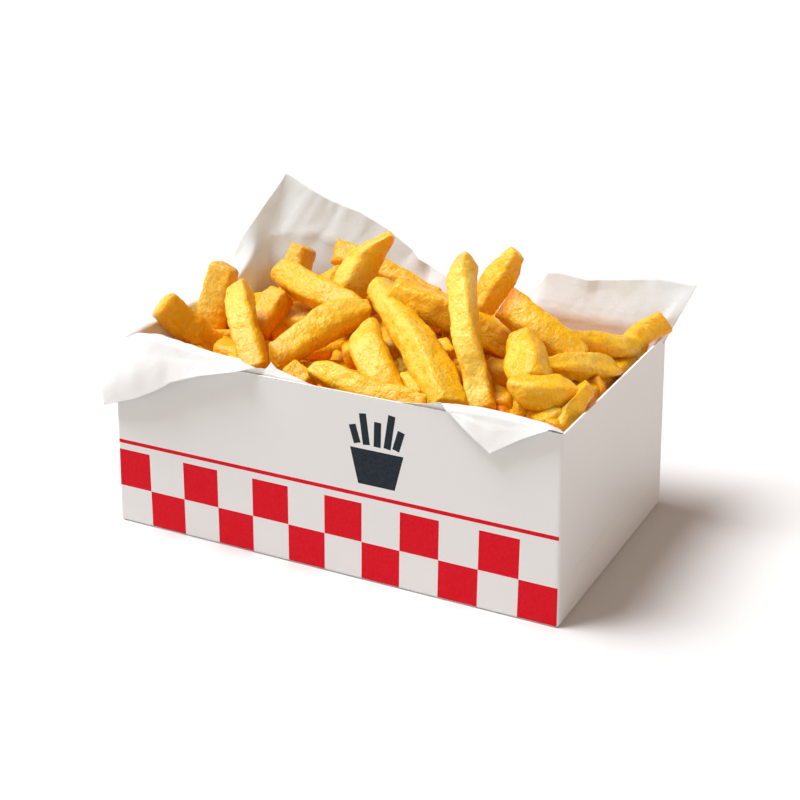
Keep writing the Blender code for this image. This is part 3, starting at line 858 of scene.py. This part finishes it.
class Heap:
    """Collects single fries into one mesh, with what the shader reads at each point."""

    def __init__(self, step):
        self.step = step
        self.around = 4 * round(9 * MM / step)
        self.sharp = rounded_square(self.around, SHARP_CORNERS)
        self.soft = rounded_square(self.around, SOFT_CORNERS)
        self.off_middle = np.abs(self.sharp).min(axis=1)
        self.points = []
        self.faces = []
        self.marks = {"toast": [], "tone": [], "edge": []}
        self.count = 0

    def rings(self, length, half):
        """(distance along, share of the section) of each ring from one end face to the other."""
        rim = min(RIM_RADIUS, half * 0.6)
        inner = 1 - rim / half
        near = [(0.0, inner * share) for share in CAP_SHARES]
        for degrees in (0, 30, 60):
            turn = math.radians(degrees)
            near.append((rim * (1 - math.cos(turn)), 1 - rim / half * (1 - math.sin(turn))))
        count = max(4, round((length - 2 * rim) / self.step))
        body = [(rim + (length - 2 * rim) * i / count, 1.0) for i in range(count + 1)]
        return np.array(near + body + [(length - d, share) for d, share in reversed(near)])

    def add(self, fry, pick):
        walked, curve, length = smooth_path(fry.path)
        rings = self.rings(length, float(np.median(curve[:, 3])) / 2)
        at = rings[:, 0]
        centre = np.stack([np.interp(at, walked, curve[:, k]) for k in range(3)], axis=1)
        half = np.interp(at, walked, curve[:, 3]) / 2
        axis = np.gradient(curve[:, :3], walked, axis=0)
        axis = np.stack([np.interp(at, walked, axis[:, k]) for k in range(3)], axis=1)
        axis /= np.linalg.norm(axis, axis=1, keepdims=True)
        mean = (curve[-1, :3] - curve[0, :3]) / np.linalg.norm(curve[-1, :3] - curve[0, :3])
        guide = np.array([0.0, 0.0, 1.0]) if abs(mean[2]) < 0.8 else np.array([0.0, -1.0, 0.0])
        up = guide - axis * (axis @ guide)[:, None]
        up /= np.linalg.norm(up, axis=1, keepdims=True)
        side = np.cross(axis, up)
        shape = self.shapes(at / length, pick)
        turn = math.radians(fry.roll) + math.radians(pick.uniform(-14, 14)) * (at / length - 0.5)
        cos, sin = np.cos(turn)[:, None], np.sin(turn)[:, None]
        u = shape[..., 0] * cos - shape[..., 1] * sin
        v = shape[..., 0] * sin + shape[..., 1] * cos
        out = side[:, None, :] * u[..., None] + up[:, None, :] * v[..., None]
        points = centre[:, None, :] + out * (half * rings[:, 1])[:, None, None]
        for place, facing in self.end_cuts(fry, centre, axis, side, up, pick):
            over = (points - place) @ facing
            over = CUT_ROUNDING * np.logaddexp(0, over / CUT_ROUNDING)
            points = points - over[..., None] * facing
        cap = np.clip((1 - rings[:, 1]) / 0.5, 0, 1)[:, None, None]
        ahead = np.where(at < length / 2, -1.0, 1.0)[:, None] * axis
        push = out / np.linalg.norm(out, axis=2, keepdims=True) * (1 - cap) + ahead[:, None, :] * cap
        seed = np.array([pick.uniform(-50, 50) for _ in range(3)])
        lumps = self.lumps(points, seed)
        points = points + push * lumps[..., None]
        self.mark(fry, points, at, length, rings[:, 1], push, pick)
        self.stitch(points, len(at))

    def shapes(self, along, pick):
        """The section at each ring, as points (u, v) on a square of half side 1 with uneven corners."""
        corner = np.arange(self.around) * 4 // self.around
        soft = np.empty((len(along), self.around))
        for k in range(4):
            wave = np.sin(2 * math.pi * (along * pick.uniform(0.5, 1.5) + pick.random()))
            weight = np.clip(pick.uniform(0.15, 0.75) + 0.3 * wave, 0, 1)
            soft[:, corner == k] = weight[:, None]
        shape = self.sharp * (1 - soft[..., None]) + self.soft * soft[..., None]
        shape = shape * np.array([1.0, pick.uniform(0.88, 1.0)])
        hollow = 1 - pick.uniform(0.0, 0.06) * (1 - np.clip(self.off_middle / 0.6, 0, 1) ** 2)
        return shape * hollow[None, :, None]

    def sunk(self, points):
        """How far each point lies under the top of the heap, in metres, and never under 0."""
        half_x, half_y = LENGTH / 2, WIDTH / 2
        top = HEAP_TOP - HEAP_FALL * np.clip(points[..., 0] * points[..., 1] / (half_x * half_y), 0, None)
        return np.clip(top - points[..., 2], 0, None)

    def mark(self, fry, points, at, length, share, facing, pick):
        """Sets what the shader reads: how toasted, how pale with painted light and shade, and how near an edge each
        point is.
        """
        near = 1 - np.minimum(at, TOAST_REACH) / TOAST_REACH
        far = 1 - np.minimum(length - at, TOAST_REACH) / TOAST_REACH
        toast = fry.toast[0] * near + fry.toast[1] * far
        self.marks["toast"].append(np.repeat(toast[:, None], self.around, axis=1))
        # Painted light and shade: sides facing the lit way are painted paler, sides facing away deeper orange; the
        # fry's pale value and a random share are its own tone.
        tone = 1.5 * facing @ PAINTED_LIGHT_SIDE + 0.7 * fry.pale + pick.uniform(-0.3, 0.3)
        # Painted shade: points deep under the top of the heap are painted darker and more orange.
        tone = tone - self.sunk(points) / PAINTED_SHADE_DEPTH
        self.marks["tone"].append(tone)
        corner = np.clip((self.off_middle - 0.62) / 0.25, 0, 1)
        rim = np.clip(1 - np.minimum(at, length - at) / RIM_RADIUS, 0, 1) * np.clip((share - 0.6) / 0.3, 0, 1)
        self.marks["edge"].append(np.maximum(corner[None, :], rim[:, None]))

    def end_cuts(self, fry, centre, axis, side, up, pick):
        """(point, outward direction) of each plane that trims this fry."""
        found = []
        for which, outward in ((0, -axis[0]), (-1, axis[-1])):
            tilt = side[which] * pick.uniform(-0.3, 0.3) + up[which] * pick.uniform(-0.3, 0.3)
            facing = outward + tilt
            found.append((centre[which] - outward * 0.4 * MM, facing / np.linalg.norm(facing)))
        for which, facing, back in fry.cuts:
            place = centre[-1] - axis[-1] * back * MM if which else centre[0] + axis[0] * back * MM
            facing = np.array(facing)
            found.append((place, facing / np.linalg.norm(facing)))
        return found

    def lumps(self, points, seed):
        """How far each point moves out, in metres: broad swells with a finer grain on them."""
        flat = points.reshape(-1, 3)
        broad = np.array([noise.fractal(co, 0.8, 2.3, 2) for co in flat / LUMP_SIZE + seed])
        grain = np.array([noise.fractal(co, 0.6, 2.0, 2) for co in flat / GRAIN_SIZE + seed])
        return (broad * LUMP_DEPTH + grain * GRAIN_DEPTH).reshape(points.shape[:2])

    def stitch(self, points, rings):
        base = self.count
        index = base + np.arange(rings * self.around).reshape(rings, self.around)
        after = np.roll(index, -1, axis=1)
        quads = np.stack([index[:-1], after[:-1], after[1:], index[1:]], axis=2).reshape(-1, 4)
        self.faces += quads.tolist()
        self.faces.append(index[0, ::-1].tolist())
        self.faces.append(index[-1].tolist())
        self.points.append(points.reshape(-1, 3))
        self.count += rings * self.around

    def make(self, name, finish):
        piece = add_mesh(name, np.concatenate(self.points).tolist(), self.faces, finish)
        for label, values in self.marks.items():
            layer = piece.data.attributes.new(label, "FLOAT", "POINT")
            layer.data.foreach_set("value", np.concatenate([part.ravel() for part in values]))
        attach(piece, "root")
        return piece


# The pale and deep colours serve both the fry's own tone and painted light and shade; the shaded colour is painted
# shade deep in the heap.
FRY_GOLD = (0.88, 0.485, 0.008)
FRY_PALE_AND_PAINTED_LIGHT = (0.89, 0.64, 0.10)
FRY_DEEP_AND_PAINTED_SHADE = (0.92, 0.34, 0.004)
FRY_SHADED = (0.72, 0.20, 0.002)
FRY_TOAST = (0.68, 0.20, 0.005)
FRY_SPECK = (0.34, 0.10, 0.008)


def fry_material():
    shade = Shade("fried potato")
    place = shade.place()
    tone = shade.attribute("tone")
    toast = shade.attribute("toast")
    edge = shade.attribute("edge")
    broad = shade.noise(place, 7 * MM, 3.0, 0.6)
    patch = shade.noise(place, 2.4 * MM, 3.0, 0.6)
    fine = shade.noise(place, 1.1 * MM, 3.0, 0.6)
    grain = shade.noise(place, 0.5 * MM, 2.0, 0.6)
    # Lightness from the tone, which carries painted light and painted shade, with random pale patches: high values are
    # painted pale as painted light, low ones deep orange and then dark as painted shade.
    light = shade.math("MULTIPLY_ADD", tone, 0.18, shade.math("MULTIPLY_ADD", broad, 0.6, 0.17))
    light = shade.math("MULTIPLY_ADD", edge, -0.06, light)
    light = shade.math("MULTIPLY_ADD", shade.math("SUBTRACT", patch, 0.5), 0.6, light)
    light = shade.math("MULTIPLY_ADD", shade.math("SUBTRACT", fine, 0.5), 0.55, light)
    colour = shade.mix(shade.ramp(light, 0.56, 0.92), FRY_GOLD, FRY_PALE_AND_PAINTED_LIGHT)
    colour = shade.mix(shade.ramp(light, 0.50, 0.22), colour, FRY_DEEP_AND_PAINTED_SHADE)
    colour = shade.mix(shade.ramp(light, 0.10, -0.30), colour, FRY_SHADED)
    dots = shade.ramp(fine, 0.42, 0.30)
    colour = shade.mix(shade.math("MULTIPLY", dots, 0.3), colour, FRY_DEEP_AND_PAINTED_SHADE)
    worn = shade.math("MULTIPLY", edge, shade.ramp(patch, 0.45, 0.65, 0.0, 0.35))
    browned = shade.math("MULTIPLY", toast, shade.ramp(patch, 0.3, 0.6, 0.45, 1.0))
    browned = shade.math("MAXIMUM", worn, browned)
    colour = shade.mix(shade.math("MULTIPLY", browned, 0.8), colour, FRY_TOAST)
    speck = shade.ramp(shade.noise(place, 1.0 * MM, 1.0), 0.76, 0.81)
    colour = shade.mix(shade.math("MULTIPLY", speck, 0.7), colour, FRY_SPECK)
    shade.feed(shade.shader.inputs["Base Color"], colour)
    shade.feed(shade.shader.inputs["Roughness"], shade.ramp(fine, 0.3, 0.7, 0.27, 0.46))
    shade.feed(shade.shader.inputs["IOR"], 1.42)
    shade.feed(shade.shader.inputs["Specular IOR Level"], 0.5)
    shade.feed(shade.shader.inputs["Subsurface Weight"], 0.4)
    shade.shader.inputs["Subsurface Radius"].default_value = (1.0, 0.45, 0.10)
    shade.feed(shade.shader.inputs["Subsurface Scale"], 1.5 * MM)
    relief = shade.bump(fine, 0.6 * MM, 0.9)
    relief = shade.bump(grain, 0.28 * MM, 0.9, relief)
    blister = shade.node("ShaderNodeTexVoronoi", Vector=place, Scale=1 / (1.2 * MM)).outputs["Distance"]
    relief = shade.bump(blister, 0.2 * MM, 0.5, relief)
    shade.feed(shade.shader.inputs["Normal"], relief)
    return shade.material


FINE_STEP = 0.62 * MM
PLAIN_STEP = 0.9 * MM
COARSE_STEP = 1.9 * MM
FILLER_COUNT = 130
# Fries along the walls, in mm: from their middle line to the wall, how long each is, and their depths.
SIDE_AWAY = 9.5
SIDE_LENGTH = 36
SIDE_THICK = (9, 10.5)
SIDE_DEPTH = (8, 12)


def heap_height(x, y):
    """The height of the heap's surface between its upper fries, in mm."""
    half_x = LENGTH / 2 / MM
    half_y = WIDTH / 2 / MM
    edge = min(half_x - abs(x), half_y - abs(y))
    rise = 4 * min(1.0, edge / 22)
    fall = 7 * max(0.0, x * y / (half_x * half_y))
    return 57 + rise - fall


def filler_fries(pick):
    """Fries at random under and between the placed ones, each clear of the walls."""
    found = []
    for _ in range(FILLER_COUNT):
        length = pick.uniform(28, 62)
        thick = pick.uniform(7.5, 10)
        turn = pick.uniform(0, math.pi)
        tilt = math.radians(pick.gauss(0, 7))
        reach = Vector((math.cos(turn) * math.cos(tilt), math.sin(turn) * math.cos(tilt), math.sin(tilt)))
        reach *= length / 2
        room_x = LENGTH / 2 / MM - 4 - thick / 2 - abs(reach.x)
        room_y = WIDTH / 2 / MM - 4 - thick / 2 - abs(reach.y)
        if room_x < 0 or room_y < 0:
            continue
        x = pick.uniform(-room_x, room_x)
        y = pick.uniform(-room_y, room_y)
        depth = pick.choice((4, 8, 13))
        z = min(heap_height(x + s * reach.x, y + s * reach.y) - s * reach.z for s in (-1, 0, 1)) - depth
        middle = Vector((x, y, z))
        first, last = middle - reach, middle + reach
        found.append(Fry([(*first, thick), (*last, thick * pick.uniform(0.7, 1.0))], pick.uniform(0, 90)))
    return found


def side_fries(pick):
    """Fries that lie end to end along the four walls, and hide the core's edge from above."""
    half_x = LENGTH / 2 / MM - SIDE_AWAY
    half_y = WIDTH / 2 / MM - SIDE_AWAY
    found = []
    for along, outward, reach, away in (((1, 0), (0, 1), half_x, half_y), ((0, 1), (1, 0), half_y, half_x)):
        count = round(2 * reach / SIDE_LENGTH)
        for way in (-1, 1):
            for i in range(count):
                ends = []
                for share in (i / count, (i + 1) / count):
                    place = Vector(along) * reach * (2 * share - 1) + Vector(outward) * (way * away)
                    z = heap_height(*place) - pick.uniform(*SIDE_DEPTH)
                    ends.append((*place, z, pick.uniform(*SIDE_THICK)))
                found.append(Fry(ends, pick.uniform(0, 90)))
    return found


def make_core(finish):
    """The small heap under the loose fries."""
    half_x = LENGTH / 2 - 6 * MM
    half_y = WIDTH / 2 - 6 * MM
    bm = bmesh.new()
    steps_x, steps_y = 48, 30
    top = []
    low = []
    for i in range(steps_x + 1):
        top_row, low_row = [], []
        for j in range(steps_y + 1):
            x = half_x * (2 * i / steps_x - 1)
            y = half_y * (2 * j / steps_y - 1)
            lump = noise.noise(Vector((x, y, 0.3)) / (9 * MM)) * 2.0
            z = (heap_height(x / MM, y / MM) - 17 + lump) * MM
            top_row.append(bm.verts.new((x, y, z)))
            low_row.append(bm.verts.new((x, y, 3 * MM)))
        top.append(top_row)
        low.append(low_row)
    for grid in (top, low):
        for i in range(steps_x):
            for j in range(steps_y):
                bm.faces.new((grid[i][j], grid[i + 1][j], grid[i + 1][j + 1], grid[i][j + 1]))
    rim = [(i, 0) for i in range(steps_x)] + [(steps_x, j) for j in range(steps_y)]
    rim += [(i, steps_y) for i in range(steps_x, 0, -1)] + [(0, j) for j in range(steps_y, 0, -1)]
    for here, after in zip(rim, rim[1:] + rim[:1]):
        corners = (low[here[0]][here[1]], low[after[0]][after[1]], top[after[0]][after[1]], top[here[0]][here[1]])
        bm.faces.new(corners)
    bmesh.ops.recalc_face_normals(bm, faces=bm.faces)
    mesh = bpy.data.meshes.new("fries_core")
    bm.to_mesh(mesh)
    bm.free()
    mesh.materials.append(finish)
    mesh.shade_smooth()
    core = bpy.data.objects.new("fries_core", mesh)
    bpy.context.scene.collection.objects.link(core)
    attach(core, "root")


def make_fries():
    finish = fry_material()
    layers = (
        ("fries_front", FRONT_FRIES, FINE_STEP),
        ("fries_middle", MIDDLE_FRIES, FINE_STEP),
        ("fries_back", BACK_FRIES, FINE_STEP),
        ("fries_lower", LOWER_FRIES, PLAIN_STEP),
        ("fries_under", filler_fries(random.Random(7)), COARSE_STEP),
        ("fries_sides", side_fries(random.Random(5)), PLAIN_STEP),
    )
    pick = random.Random(11)
    for name, fries, step in layers:
        heap = Heap(step)
        for fry in fries:
            heap.add(fry, pick)
        piece = heap.make(name, finish)
        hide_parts("fries")
    make_core(finish)


make_camera()
make_light()
make_floor()
finish_carton()
make_paper()
make_fries()
